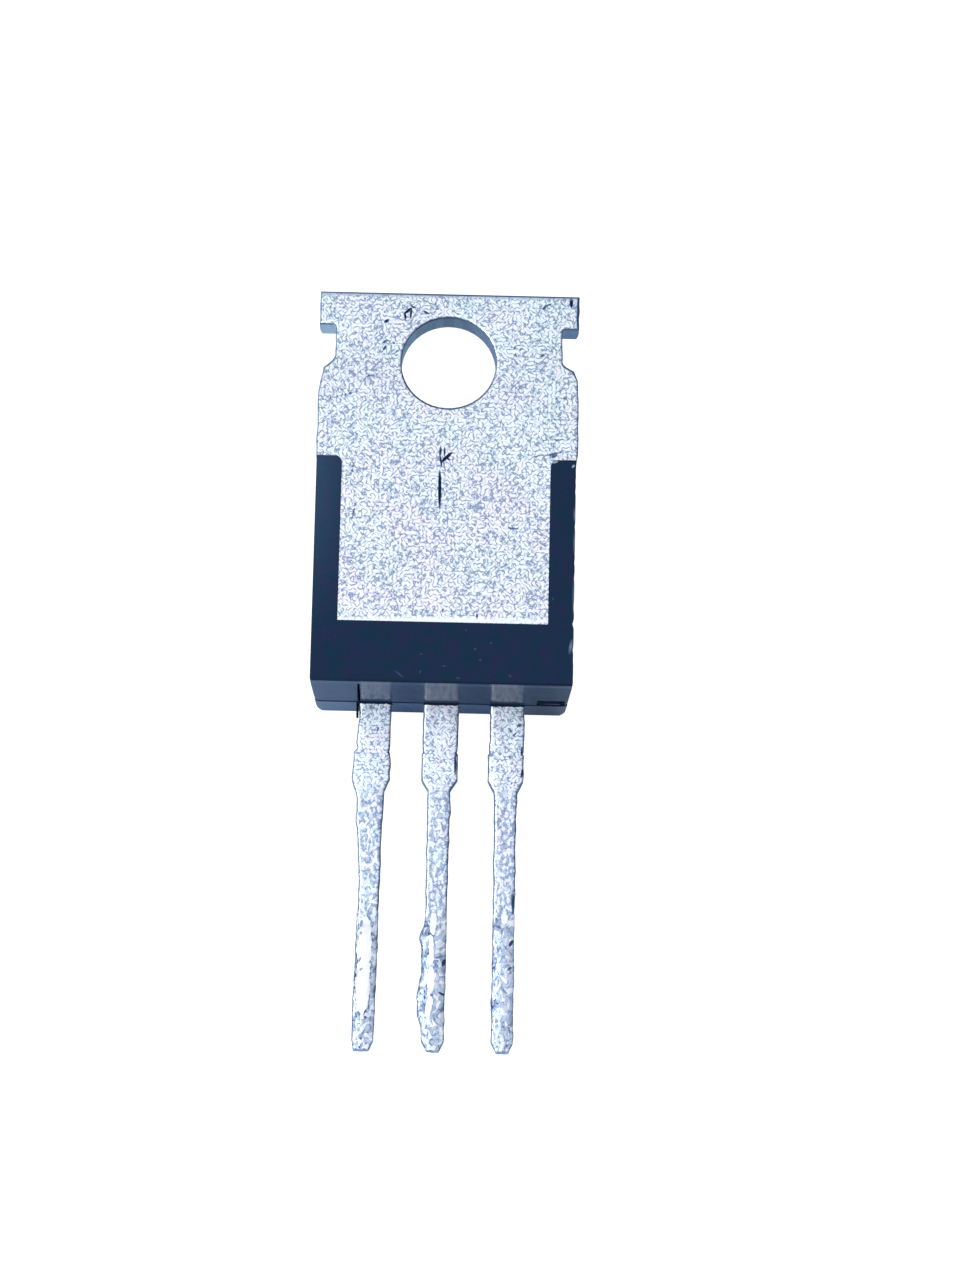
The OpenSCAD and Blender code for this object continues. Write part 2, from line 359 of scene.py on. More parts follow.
def normal_parts(point):
    """The surface's lean to the right, to the tab's end and up."""
    return parts_of(point.node("TexCoord", output="Normal"))


def slanted(point):
    """Folds the height into X and Y, so that walls get a pattern as well as faces."""
    x, y, z = parts_of(point)
    return point.node("CombineXYZ", inputs={0: x + z * SLANT_X, 1: y + z * SLANT_Y})


print("patterns are counted in cells per mm; walls slant into them by", SLANT_X, "and", SLANT_Y)


# %% [markdown]
# ## Wrinkles and marks
#
# Tin and solder that cooled slowly have a skin of fine winding wrinkles. A line of that
# kind could be drawn curve by curve. Noise gives it at once: the line runs wherever the
# noise crosses its middle value, and a second noise makes it wind. Single marks, such as
# a scratch, are soft spots that are placed, stretched and turned one by one, because
# noise never puts a mark where the real one is.

# %% Noise and wrinkles
ALONG_LEADS = (1.0, 0.6, 1.0)


def flat_noise(point, cells, detail=0.0, output=0):
    """Noise on the face's own plane, with so many cells to the millimetre."""
    inputs = {"Vector": point, "Scale": cells, "Detail": detail}
    return point.node("TexNoise", {"noise_dimensions": "2D"}, inputs, output)


def wrinkles(point, cells, thin, thick):
    """Fine winding lines: 1 along each line and 0 between them."""
    return 1 - abs(flat_noise(point, cells) - 0.5).step(thin, thick)


def warped(point, cells, size_mm):
    """Moves a point about by a noise, so that lines drawn on it wind."""
    drift = flat_noise(point, cells, 1.0, "Color")
    drift = drift.vector_maths("SCALE", {0: drift, "Scale": size_mm})
    return drift.vector_maths("ADD", {0: drift, 1: point})


def grain_fade(flat):
    """Where the fine grain is deep and where it fades."""
    return flat_noise(flat, cells=7.0).step(0.35, 0.6)


def outlined(value, level, soft, thick):
    """1 where a wire is above a level, and a second wire that is 1 on the line round it."""
    return value.step(level, level + soft), 1 - abs(value - level).step(0.0, thick)


print("patterns are stretched along the leads by", ALONG_LEADS[0] / ALONG_LEADS[1])

# %% Marks
MARK_DEPTH = 0.3


def spots(point, level, marks, depth=MARK_DEPTH):
    """Soft spots near one level: x, y, half length, half width, turn in degrees, strength."""
    total = None
    for x, y, half_length, half_width, turn, strength in marks:
        inputs = {
            "Vector": point,
            "Location": (x, y, level),
            "Rotation": (0.0, 0.0, math.radians(turn)),
            "Scale": (half_length, half_width, depth),
        }
        place = point.node("Mapping", {"vector_type": "TEXTURE"}, inputs)
        spot = place.node("TexGradient", {"gradient_type": "SPHERICAL"}, {0: place}, "Fac")
        spot = spot * strength
        total = spot if total is None else total.at_least(spot)
    return total


print("a mark reaches", MARK_DEPTH, "mm into the surface")


# %% [markdown]
# ## Tinned copper
#
# The strip is copper with a skin of dull tin. The tab, the pad and the wide leads have
# fine dark wrinkles on a pale ground. The narrow leads look different, with long pale
# crumbs on a bluish ground. Two materials would meet in a hard line, so one material
# holds both and changes over where the leads narrow.

# %% Tone of the tin
LEAD_PITCH = 2.54
LEAD_TOP = -2.53
LEADS_FROM = (-13.0, -12.0)
BLADES_FROM = (-16.9, -15.8)
CRUMBS_FROM = 0.45
TIN_DARKEST = 0.26


def x_in_lead(x):
    """Distance to the right of the middle of whichever lead this is."""
    pin = (x / LEAD_PITCH).maths("ROUND", x / LEAD_PITCH)
    return x - pin * LEAD_PITCH


def blade_tone(flat, x):
    """Tone of the narrow leads: long pale crumbs on a bluish ground with fine lines, and painted shade
    at each lead's right.
    """
    along = flat.vector_maths("MULTIPLY", {0: flat, 1: ALONG_LEADS})
    crumbs = flat_noise(warped(along, cells=5.0, size_mm=0.1), cells=7.5, detail=0.6)
    crumbs = crumbs.step(CRUMBS_FROM, CRUMBS_FROM + 0.12)
    ground = 0.5 + (flat_noise(flat, cells=2.2, detail=1.0) - 0.5) * 0.35
    lines = wrinkles(warped(flat, cells=5.0, size_mm=0.12), cells=6.2, thin=0.01, thick=0.13)
    tone = ground + (1 - ground) * crumbs - lines * (0.22 + grain_fade(flat) * 0.34)
    # Painted shade: each lead goes darker towards its right side.
    return tone - x_in_lead(x).step(0.0, 0.35) * 0.1


def tin_tone(flat, x, y):
    """Tone of the clean tin: wrinkles on the tab and the wide leads, crumbs on the narrow ones."""
    lines = wrinkles(warped(flat, cells=5.0, size_mm=0.12), cells=6.4, thin=0.02, thick=0.18)
    tone = 0.99 - lines * (0.4 + grain_fade(flat) * 0.6)
    tone = tone + (1 - y.step(*LEADS_FROM)) * 0.08
    tone = tone + (blade_tone(flat, x) - tone) * (1 - y.step(*BLADES_FROM))
    tone = tone - (flat_noise(flat, cells=0.5, detail=1.0) - 0.5) * 0.15
    return tone.at_least(TIN_DARKEST)


print("leads begin at y", LEADS_FROM, "and narrow at", BLADES_FROM)

# %% [markdown]
# ### Scratches and dents in the tin
#
# The tab was handled, clamped and pulled off a board. It has deep dents by the hole, a
# nick and a long scratch on the pad, and faint lines across the sides. Strong marks go
# nearly black. Weak ones only break up the grain. One dark line down the ear's right side
# is painted shade, and a pale band along the pad's lower edge is a painted highlight.

# %% Marks in the tin
TAB_MARKS = [
    (-1.63, 2.05, 0.25, 0.06, 42, 1.8),
    (-1.72, 1.83, 0.17, 0.055, 96, 1.3),
    (-1.50, 1.96, 0.28, 0.05, 86, 1.2),
    (-1.42, 2.22, 0.13, 0.05, -23, 1.0),
    (-1.34, 2.71, 0.1, 0.05, 90, 0.3),
    (-1.23, 2.37, 0.17, 0.045, -15, 0.3),
    (-0.74, 2.37, 0.24, 0.04, -20, 0.35),
    (-0.55, 2.37, 0.11, 0.045, 90, 0.3),
    (-0.91, 2.0, 0.16, 0.06, -34, 0.8),
    (-0.52, 2.15, 0.15, 0.04, 0, 0.3),
    (-2.44, 1.62, 0.13, 0.08, 30, 1.2),
    (-2.46, 0.8, 0.19, 0.08, 21, 0.45),
    (-2.48, 0.53, 0.16, 0.06, 67, 0.8),
    (-2.14, 0.74, 0.12, 0.06, -54, 0.4),
    (-2.17, 0.29, 0.15, 0.05, 23, 0.35),
    (-2.0, 0.41, 0.18, 0.05, 45, 0.35),
    (-2.73, 0.48, 0.26, 0.045, 86, 0.2),
    (-2.66, -0.04, 0.17, 0.04, 0, 0.2),
    (2.73, 0.76, 0.3, 0.05, 10, 0.3),
    (2.53, 0.65, 0.12, 0.045, 90, 0.28),
    (2.78, 0.57, 0.22, 0.04, 9, 0.25),
    (3.6, 0.34, 0.15, 0.06, 26, 0.6),
    (2.6, 0.35, 0.16, 0.05, -61, 0.3),
    (3.87, 0.55, 0.4, 0.035, 0, 0.22),
    (3.65, 2.31, 0.14, 0.06, 56, 0.7),
    (3.83, 2.43, 0.21, 0.055, 18, 0.5),
    (4.7, 2.53, 0.22, 0.075, 90, 2.6),
    # This dark line down the ear's right side is painted shade.
    (4.97, 2.16, 0.75, 0.08, 89, 1.3),
    (-0.24, -3.59, 0.27, 0.05, 87, 1.0),
    (-0.21, -3.98, 0.31, 0.05, 100, 1.2),
    (0.0, -3.83, 0.35, 0.075, 46, 2.0),
    (-0.08, -3.6, 0.24, 0.05, 90, 0.9),
    (0.06, -3.88, 0.13, 0.055, -41, 1.0),
    (-0.23, -5.1, 0.85, 0.07, 91, 2.4),
    (3.56, -3.68, 0.4, 0.045, 10, 0.35),
    (4.09, -3.6, 0.42, 0.08, 14, 0.5),
    (4.12, -3.69, 0.24, 0.09, 21, 0.5),
    (1.3, -10.12, 0.2, 0.055, 90, 0.8),
    (0.0, -9.9, 0.16, 0.07, 70, 0.4),
    (-4.3, 0.36, 1.0, 0.05, 4, 0.22),
    (-4.2, -1.45, 1.4, 0.06, 14, 0.24),
    (-3.0, -0.6, 0.6, 0.05, 10, 0.24),
    (4.4, -1.36, 0.8, 0.05, 2, 0.22),
    (4.25, -2.22, 1.0, 0.05, 2, 0.24),
    (4.25, -3.03, 1.0, 0.05, 3, 0.24),
    (-3.6, -4.4, 0.5, 0.05, 84, 0.24),
    (-3.5, -6.1, 0.7, 0.05, 82, 0.28),
    (3.5, -6.7, 0.4, 0.05, 5, 0.28),
    (2.6, -6.6, 0.5, 0.05, -5, 0.28),
]
LEAD_MARKS = [
    (-2.96, -13.4, 0.12, 0.05, 30, 0.4),
    (-2.39, -14.01, 0.16, 0.07, 70, 0.5),
    (-2.18, -15.17, 0.2, 0.05, 10, 0.25),
    (3.03, -13.73, 0.14, 0.05, 20, 0.6),
    (2.67, -13.9, 0.14, 0.05, -50, 0.5),
    (2.85, -14.08, 0.16, 0.05, 50, 0.5),
    (3.13, -14.75, 0.2, 0.05, 85, 0.9),
    (3.16, -15.6, 0.26, 0.06, 80, 0.9),
    (2.55, -14.98, 0.26, 0.05, 5, 0.25),
    (2.85, -15.98, 0.3, 0.05, 5, 0.25),
    (0.6, -15.3, 0.6, 0.06, 90, 0.9),
    (2.9, -20.6, 0.5, 0.07, 90, 0.8),
    (2.88, -21.8, 0.2, 0.07, 90, 0.8),
]
# Painted highlight: a pale band along the lower edge of the pad.
PAD_EDGE_HIGHLIGHT = [
    (0.0, -10.28, 6.5, 0.16, 0.7, 0.9),
]
MARK_DARKEST = 0.12


def marked(tone, point):
    """Darkens a tone at each mark, and paints a highlight along the lower edge of the pad."""
    marks = spots(point, 0.0, TAB_MARKS).at_least(spots(point, LEAD_TOP, LEAD_MARKS))
    tone = (tone - marks.step(0.03, 0.35) * 0.9).at_least(MARK_DARKEST)
    tone = tone - marks.step(0.35, 0.85) * MARK_DARKEST
    return tone + spots(point, 0.0, PAD_EDGE_HIGHLIGHT)


print("marks on the tab:", len(TAB_MARKS), "and on the leads:", len(LEAD_MARKS))

# %% [markdown]
# ### Colour of the tin
#
# Tin isn't one grey: it drifts between a greenish and a pinkish tint. The rounded edges
# get painted shade, lighter where they face left and darkest where they face right or up,
# in a wider band at the tab's end and down the ear's right side. The cut walls are rubbed,
# with painted light at the part's left and painted shade at its right. Each could be a
# material of its own, given face by face. Here the way that the surface faces tells them
# apart, so nothing is picked by hand.

# %% Tin material
TIN_STOPS = [
    (0.0, srgb(20, 32, 58)),
    (0.1, srgb(70, 92, 128)),
    (0.28, srgb(150, 166, 190)),
    (0.6, srgb(208, 216, 230)),
    (1.0, srgb(250, 250, 252)),
]
TINT_TEAL = (0.98, 1.01, 1.0, 1.0)
TINT_LILAC = (1.02, 0.99, 1.01, 1.0)
TINT_LEADS = (0.96, 0.995, 1.03, 1.0)
TINT_TAB = (0.96, 1.0, 0.995, 1.0)
TAB_TINT_FROM = (-6.0, 0.0)
WALL_DULL = (0.84, 0.85, 0.86, 1.0)
# Painted light and shade on the walls and on the rounded edges.
WALL_LIT_LEFT = (0.84, 0.97, 1.0, 1.0)
WALL_SHADE_RIGHT = (0.52, 0.64, 0.80, 1.0)
EDGE_LIT_LEFT = (0.40, 0.54, 0.72, 1.0)
EDGE_SHADE_RIGHT = (0.08, 0.13, 0.24, 1.0)
EDGE_SHADE_TOP = (0.06, 0.12, 0.22, 1.0)
SIDE_TO_SIDE = (-5.0, 5.0)
# Wider bands of painted shade at the tab's end and down the ear's right side.
TAB_END_SHADE = (2.58, 2.66)
EAR_SIDE_SHADE = (4.88, 4.94)
EAR_FROM = (1.3, 1.6)
RUB_STRETCH = (1.0, 1.0, 0.2)


def tin_face(tone, flat, y):
    """Colour of the flat faces at a tone, with the tints of the leads and of the tab's end."""
    hue = flat_noise(flat, cells=0.45, detail=1.0).step(0.4, 0.6).between(TINT_TEAL, TINT_LILAC)
    face = tone.ramp(TIN_STOPS).tinted(hue)
    face = face.tinted((1 - y.step(*LEADS_FROM)).between(WHITE, TINT_LEADS))
    return face.tinted(y.step(*TAB_TINT_FROM).between(WHITE, TINT_TAB))


def tin_wall(point, x):
    """Colour of the cut walls, rubbed up and down, painted lighter at the left and shaded at the right.
    """
    rubbed = point.vector_maths("MULTIPLY", {0: point, 1: RUB_STRETCH})
    rubbed = rubbed.node("TexNoise", None, {"Vector": rubbed, "Scale": 3.0, "Detail": 2.0})
    wall = x.step(*SIDE_TO_SIDE).between(WALL_LIT_LEFT, WALL_SHADE_RIGHT)
    return wall.tinted(rubbed.step(0.35, 0.65).between(WALL_DULL, WHITE))


def tin_material():
    """Dull tin over copper: a fine wrinkled grain, scratches and painted shade on the rounded edges."""
    material, shader, point = new_material("tin_plate")
    flat = slanted(point)
    x, y = parts_of(point)[:2]
    lean, up, lying = normal_parts(point)
    lying = abs(lying)
    tone = marked(tin_tone(flat, x, y), point)
    # The rounded edges get painted light and shade by the way they face.
    edge = up.step(0.2, 0.7).between(lean.step(-0.6, 0.6).between(EDGE_LIT_LEFT, EDGE_SHADE_RIGHT), EDGE_SHADE_TOP)
    flat_part = lying.step(0.5, 0.85) * (1 - up.step(0.08, 0.25)) * (1 - y.step(*TAB_END_SHADE) * 0.5)
    flat_part = flat_part * (1 - x.step(*EAR_SIDE_SHADE) * y.step(*EAR_FROM) * 0.7)
    colour = flat_part.between(edge, tin_face(tone, flat, y))
    colour = (1 - lying.step(0.1, 0.3)).between(colour, tin_wall(point, x))
    feed(shader, "Base Color", colour)
    feed_bump(shader, tone, strength=0.35, depth_mm=0.006)
    set_sockets(shader, {"Metallic": 1.0, "Roughness": 0.42})
    return material


tin = tin_material()
print(tin.name, "has", len(tin.node_tree.nodes), "nodes")


# %% [markdown]
# ## Old solder
#
# The leads were soldered into a board and pulled out. The solder froze in runs of smooth
# bluish metal with fine wrinkles. Its white streaks and its glints with a thin dark rim
# are painted highlights, and its sides that face right get painted shade. The long
# streaks are what the eye finds first, so they are placed one by one.
# Glints are too many for that and come from noise, and each gets its rim from the same
# noise, so that the rim follows it.

# %% Painted highlight streaks and dents in the solder
SOLDER_TOP = -2.42
SOLDER_MARK_DEPTH = 1.2
# Painted highlights: white streaks along the crowns of the solder.
HIGHLIGHT_STREAKS = [
    (-2.69, -22.3, 1.75, 0.42, 90, 1.0),
    (-2.71, -23.9, 1.7, 0.42, 91, 1.0),
    (-0.1, -21.5, 0.75, 0.2, 88, 1.0),
    (-0.15, -22.5, 0.95, 0.15, 93, 1.0),
    (-0.15, -23.65, 0.75, 0.2, 88, 1.0),
    (-0.2, -24.7, 0.6, 0.2, 80, 1.0),
    (2.59, -21.25, 0.36, 0.2, 92, 1.0),
    (2.4, -23.9, 0.3, 0.1, 60, 0.9),
    (2.6, -23.6, 0.3, 0.1, -50, 0.9),
]
SOLDER_MARKS = [
    (-2.82, -21.55, 0.2, 0.08, 80, 1.2),
    (-2.83, -21.95, 0.12, 0.07, 100, 1.2),
    (-2.83, -22.35, 0.16, 0.09, 95, 1.2),
    (-2.84, -22.95, 0.14, 0.07, 80, 1.2),
    (-2.78, -23.3, 0.12, 0.08, 60, 1.2),
    (-2.84, -23.8, 0.16, 0.07, 110, 1.2),
    (0.33, -23.0, 0.2, 0.09, 70, 1.0),
    (0.30, -24.2, 0.25, 0.06, -20, 1.0),
    (2.88, -21.0, 0.25, 0.08, 80, 1.0),
    (2.86, -22.2, 0.2, 0.09, 60, 1.0),
    (2.80, -23.2, 0.2, 0.05, 40, 0.7),
]
print("streaks:", len(HIGHLIGHT_STREAKS), "and dents:", len(SOLDER_MARKS))

# %% Solder material
SOLDER_STOPS = [
    (0.0, srgb(50, 68, 104)),
    (0.25, srgb(134, 152, 184)),
    (0.5, srgb(186, 200, 221)),
    (0.75, srgb(216, 225, 240)),
    (1.0, srgb(253, 254, 255)),
]
PIN_1_SIDE = (0.8, 1.8)
TIP_FROM = (-25.6, -24.6)
SEAM = (-21.4, -21.15)


def solder_glints(along, aside, x, y):
    """Noise that is high at the painted glints: a little more of them at a lead's right and its tip's
    left.
    """
    glints = flat_noise(warped(along, cells=3.8, size_mm=0.14), cells=6.6, detail=0.5)
    glints = glints + aside * 0.1 - x.step(*PIN_1_SIDE) * 0.03
    return glints + (1 - y.step(*TIP_FROM)) * (1 - aside.step(-0.1, 0.1)) * 0.06


def solder_tone(point, flat, x, y, highlight_streak, highlight_rim):
    """Tone of the solder: its ground, painted highlights as glints and streaks, painted shade on sides
    facing right, and dents.
    """
    aside = x_in_lead(x)
    along = point.vector_maths("MULTIPLY", {0: flat, 1: ALONG_LEADS})
    glint, glint_rim = outlined(solder_glints(along, aside, x, y), level=0.55, soft=0.05, thick=0.05)
    ground = 0.4 + (flat_noise(flat, cells=2.0, detail=1.0) - 0.5) * 0.5 + aside.step(-0.25, 0.25) * 0.21
    fine = wrinkles(warped(along, cells=5.0, size_mm=0.12), cells=5.8, thin=0.01, thick=0.12)
    tone = ground + (1 - ground) * glint * 0.85 - glint_rim * 0.2
    tone = tone - fine * (0.14 + grain_fade(flat) * 0.2) - highlight_rim * 0.25
    tone = tone + (1 - tone) * highlight_streak
    # Painted shade on the sides that face right.
    tone = tone - normal_parts(point)[0].step(0.6, 0.9) * 0.35
    return tone - spots(point, SOLDER_TOP, SOLDER_MARKS, SOLDER_MARK_DEPTH).step(0.1, 0.5) * 0.7


def solder_material():
    """Solder that ran along the leads, and the tin that shows through where it ends."""
    material, shader, point = new_material("solder")
    flat = slanted(point)
    x, y = parts_of(point)[:2]
    rough = flat_noise(flat, cells=4.5, detail=1.0) - 0.5
    # Where the painted highlight streaks lie.
    highlight_runs = spots(point, SOLDER_TOP, HIGHLIGHT_STREAKS, SOLDER_MARK_DEPTH) + rough * 0.45
    highlight_streak, highlight_rim = outlined(highlight_runs, level=0.3, soft=0.06, thick=0.09)
    tone = solder_tone(point, flat, x, y, highlight_streak, highlight_rim)
    tin_left = (y + rough * 0.6).step(*SEAM) * (1 - highlight_streak)
    tin_face_here = blade_tone(flat, x).at_least(TIN_DARKEST).ramp(TIN_STOPS).tinted(TINT_LEADS)
    feed(shader, "Base Color", tin_left.between(tone.ramp(SOLDER_STOPS), tin_face_here))
    feed_bump(shader, tone, strength=0.3, depth_mm=0.012)
    feed(shader, "Roughness", 0.42 - highlight_streak * 0.1 + rough * 0.08)
    set_sockets(shader, {"Metallic": 0.75})
    return material


solder = solder_material()
print(solder.name, "has", len(solder.node_tree.nodes), "nodes")


# %% [markdown]
# ## Moulding compound
#
# The body is black epoxy with ground glass in it, moulded smooth. A plain black would look
# like a hole. So the skin gets a cloudy blue cast, with painted light that makes it paler at
# the left, and the end towards the leads gets a thin gloss. The end is painted lighter at
# its left, with painted highlights under its upper edge, at its left corner and below the
# parting line. Edges get painted shade, apart from the places where they were rubbed pale,
# which are placed one by one.

# %% Skin of the body
PLASTIC_TEAL = (0.005, 0.024, 0.052, 1.0)
PLASTIC_VIOLET = (0.011, 0.020, 0.058, 1.0)
# Painted light: a paler tone for the left of the back.
PLASTIC_LIT_LEFT = (0.035, 0.075, 0.14, 1.0)
# Painted highlight tone, and the end's colour from lit at the left to shaded at the right.
PLASTIC_HIGHLIGHT = (0.09, 0.16, 0.28, 1.0)
PLASTIC_END_LIT = (0.064, 0.105, 0.194, 1.0)
PLASTIC_END_SHADED = (0.034, 0.056, 0.100, 1.0)
LIT_LEFT_X = (-5.2, -3.0)
LIT_LEFT_Y = (-12.0, -4.0)
END_TURN = (0.9, 0.97)


def plastic_back(x, y, cloud, grain):
    """Colour of the back and the sides: cloudy, with painted light that makes it paler at the left."""
    pale = (1 - x.step(*LIT_LEFT_X)) * y.step(*LIT_LEFT_Y) * 0.6 + (grain - 0.5) * 0.12
    hue = cloud.step(0.35, 0.65).between(PLASTIC_TEAL, PLASTIC_VIOLET)
    return pale.at_least(0.0).between(hue, PLASTIC_LIT_LEFT)


def plastic_end(skin, x, cloud, end, left, towards_leads):
    """Adds the colour of the end, painted lighter at the left and shaded at the right, and a painted
    highlight on its left corner.
    """
    across = x.step(*SIDE_TO_SIDE) + (cloud - 0.5) * 0.7
    skin = end.between(skin, across.between(PLASTIC_END_LIT, PLASTIC_END_SHADED))
    return (left * towards_leads.step(0.3, 0.6)).between(skin, PLASTIC_HIGHLIGHT)


def end_highlights(x, z, end):
    """Painted highlights on the end: under its upper edge, at its left corner and below the parting
    line.
    """
    rim = end * z.step(-0.45, -0.25) * (1 - z.step(-0.2, -0.08)) * 0.6
    corner = end * (1 - x.step(-4.75, -4.4)) * 0.3
    front = end * (1 - z.step(-2.6, -2.54)) * (1 - x.step(1.5, 4.5))
    return rim.at_least(corner) + front


print("the end begins where the surface faces the leads by", END_TURN[0])

# %% Rubs and smears on the body
RUBBED = [
    (4.95, -6.0, 0.35, 0.06, 90, 1.0),
    (4.96, -7.1, 0.6, 0.06, 90, 1.0),
    (4.95, -9.2, 0.9, 0.05, 90, 0.8),
    (4.88, -11.2, 0.35, 0.09, 80, 1.0),
    (1.45, -11.8, 0.06, 0.05, 0, 0.36),
    (1.25, -11.38, 0.06, 0.05, 30, 0.36),
    (1.85, -11.13, 0.06, 0.04, 60, 0.36),
    (-0.79, -11.62, 0.06, 0.04, 0, 0.32),
    (0.89, -10.64, 0.05, 0.04, 0, 0.32),
    (-1.6, -12.42, 0.28, 0.04, -38, 0.32),
    (-0.81, -12.32, 0.1, 0.04, 60, 0.27),
    (0.09, -12.07, 0.1, 0.04, 20, 0.27),
    (2.59, -12.4, 0.1, 0.04, -30, 0.27),
    (0.63, -12.52, 0.1, 0.04, 10, 0.27),
    (4.17, -9.35, 0.09, 0.04, 80, 0.27),
]
TIN_SMEARS = [
    (3.98, -4.1, 0.24, 0.05, 92, 0.9),
    (4.13, -3.93, 0.2, 0.05, 12, 0.9),
    (4.87, -4.07, 0.11, 0.06, 52, 0.6),
]
print("rubs and specks:", len(RUBBED), "and smears of tin:", len(TIN_SMEARS))

# %% Body material
# Painted shade for edges that turn away.
PLASTIC_RIM_SHADE = (0.004, 0.012, 0.03, 1.0)
# Near black for the flash lips, which also paints the shade at the leads' roots.
PLASTIC_FLASH_SHADE = (0.003, 0.006, 0.014, 1.0)
PLASTIC_RUBBED = (0.16, 0.22, 0.32, 1.0)
TIN_SMEAR = (0.30, 0.37, 0.48, 1.0)
APRON_RIM = (-12.72, -12.6)
FLASH_FROM = (-13.06, -13.0)
GLOSS = 0.29


def shaded_rims(y, lean, lying):
    """Where the body's edges turn away, which get painted shade."""
    rim = (1 - y.step(*APRON_RIM)) * lying.step(0.3, 0.5)
    rim = rim.at_least(abs(lean).step(0.6, 0.85))
    return rim.at_least((0 - lying).step(0.15, 0.5))


def plastic_material():
    """Black epoxy with a cloudy skin, painted light and shade, pale specks and rubbed edges."""
    material, shader, point = new_material("mould_compound")
    flat = slanted(point)
    x, y, z = parts_of(point)
    lean, up, lying = normal_parts(point)
    cloud = flat_noise(flat, cells=1.6, detail=3.0)
    grain = flat_noise(flat, cells=7.0, detail=1.0)
    towards_leads = 0 - up
    end = towards_leads.step(*END_TURN)
    rim = shaded_rims(y, lean, lying)
    flash = 1 - y.step(*FLASH_FROM)
    skin = plastic_back(x, y, cloud, grain)
    # Painted light on the end and its left corner, and painted highlights at its rims.
    skin = plastic_end(skin, x, cloud, end, (0 - lean).step(0.1, 0.3), towards_leads)
    skin = end_highlights(x, z, end).between(skin, PLASTIC_HIGHLIGHT)
    # Painted shade on edges that turn away.
    skin = (rim * 0.85).between(skin, PLASTIC_RIM_SHADE)
    skin = spots(point, 0.0, RUBBED).between(skin, PLASTIC_RUBBED)
    skin = spots(point, 0.0, TIN_SMEARS).step(0.1, 0.3).between(skin, TIN_SMEAR)
    # The flash lips are painted near black, which paints the shade at the leads' roots.
    feed(shader, "Base Color", flash.between(skin, PLASTIC_FLASH_SHADE))
    feed_bump(shader, cloud + grain * 0.5, strength=0.3, depth_mm=0.01)
    feed(shader, "Roughness", 0.24 + (grain - 0.5) * 0.1 + flash * 0.6 + rim * 0.3)
    feed(shader, "Coat Weight", towards_leads.step(0.5, 0.9) * GLOSS * (1 - flash))
    set_sockets(shader, {"Coat Roughness": 0.1, "Coat IOR": 1.5, "Specular IOR Level": 0.07})
    return material


plastic = plastic_material()
print(plastic.name, "has", len(plastic.node_tree.nodes), "nodes")


# %% [markdown]
# ## From a CAD solid to a worn piece
#
# A real stamped or moulded part has no perfectly sharp edge and no perfectly flat face.
# It could be modelled afresh, but a copy of its CAD solid already fits its neighbours
# exactly. The copy is welded, and enlarged to millimetres while it is worked on, because
# Blender's edit tools round off lengths that are as small as these. At the end it is
# shrunk again and takes the solid's place.

# %% Copies of the CAD solids
WELD = 0.0002
FLAT_UP_TO = 1


def select_only(piece):
    bpy.ops.object.select_all(action="DESELECT")
    piece.select_set(True)
    bpy.context.view_layer.objects.active = piece


def scale_mesh(piece, factor):
    """Scales the mesh itself, so that the object stays unscaled."""
    select_only(piece)
    piece.scale = (factor, factor, factor)
    bpy.ops.object.transform_apply(location=False, rotation=False, scale=True)


def in_edit_mode(piece, kind, work):
    """Runs work() in edit mode on the piece, selecting vertices, edges or faces."""
    select_only(piece)
    bpy.ops.object.mode_set(mode="EDIT")
    bpy.ops.mesh.select_mode(type=kind)
    work()
    bpy.ops.object.mode_set(mode="OBJECT")


def start_piece(node_name, piece_name, whole_faces=True):
    """Copies a CAD solid in millimetres and welds it. Flat faces can be made whole again."""
    piece = bpy.data.objects.new(piece_name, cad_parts[node_name].data.copy())
    bpy.context.scene.collection.objects.link(piece)
    scale_mesh(piece, 1 / MM)

    def weld():
        bpy.ops.mesh.customdata_custom_splitnormals_clear()
        bpy.ops.mesh.select_all(action="SELECT")
        bpy.ops.mesh.remove_doubles(threshold=WELD)
        if whole_faces:
            bpy.ops.mesh.dissolve_limited(angle_limit=math.radians(FLAT_UP_TO))

    in_edit_mode(piece, "VERT", weld)
    print(piece_name, "starts with", len(piece.data.polygons), "faces")
    return piece


print("points closer than", WELD, "mm are welded")

# %% The end of every piece
SMOOTH_UP_TO = 40


def apply_modifier(piece, kind, **settings):
    """Adds a modifier with its settings and makes its result the mesh."""
    select_only(piece)
    modifier = piece.modifiers.new(kind.lower(), kind)
    for name, value in settings.items():
        setattr(modifier, name, value)
    bpy.ops.object.modifier_apply(modifier=modifier.name)


def finish_piece(piece, node_name, material):
    """Shrinks the piece to metres, gives it its finish, and puts it in the CAD solid's place."""
    scale_mesh(piece, MM)
    bpy.ops.object.shade_smooth_by_angle(angle=math.radians(SMOOTH_UP_TO))
    apply_modifier(piece, "WEIGHTED_NORMAL", keep_sharp=True)
    piece.data.materials.clear()
    piece.data.materials.append(material)
    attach(piece, "root")
    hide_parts(node_name)
    print(piece.name, "is done with", len(piece.data.polygons), "faces")


print("edges under", SMOOTH_UP_TO, "degrees are shaded smooth")


# %% [markdown]
# ## Rounding, slicing and pushing
#
# Wear is three small moves. A bevel rounds chosen edges. Cuts across the piece give it
# enough points to bend. A push then moves each point by a smooth noise. Sculpting by hand
# would look as good, but a rule gives the same wear each time the lesson runs.

# %% Rounded edges
SHARP_FROM = 25


def clear_selection(mesh):
    for items in (mesh.vertices, mesh.edges, mesh.polygons):
        for item in items:
            item.select = False


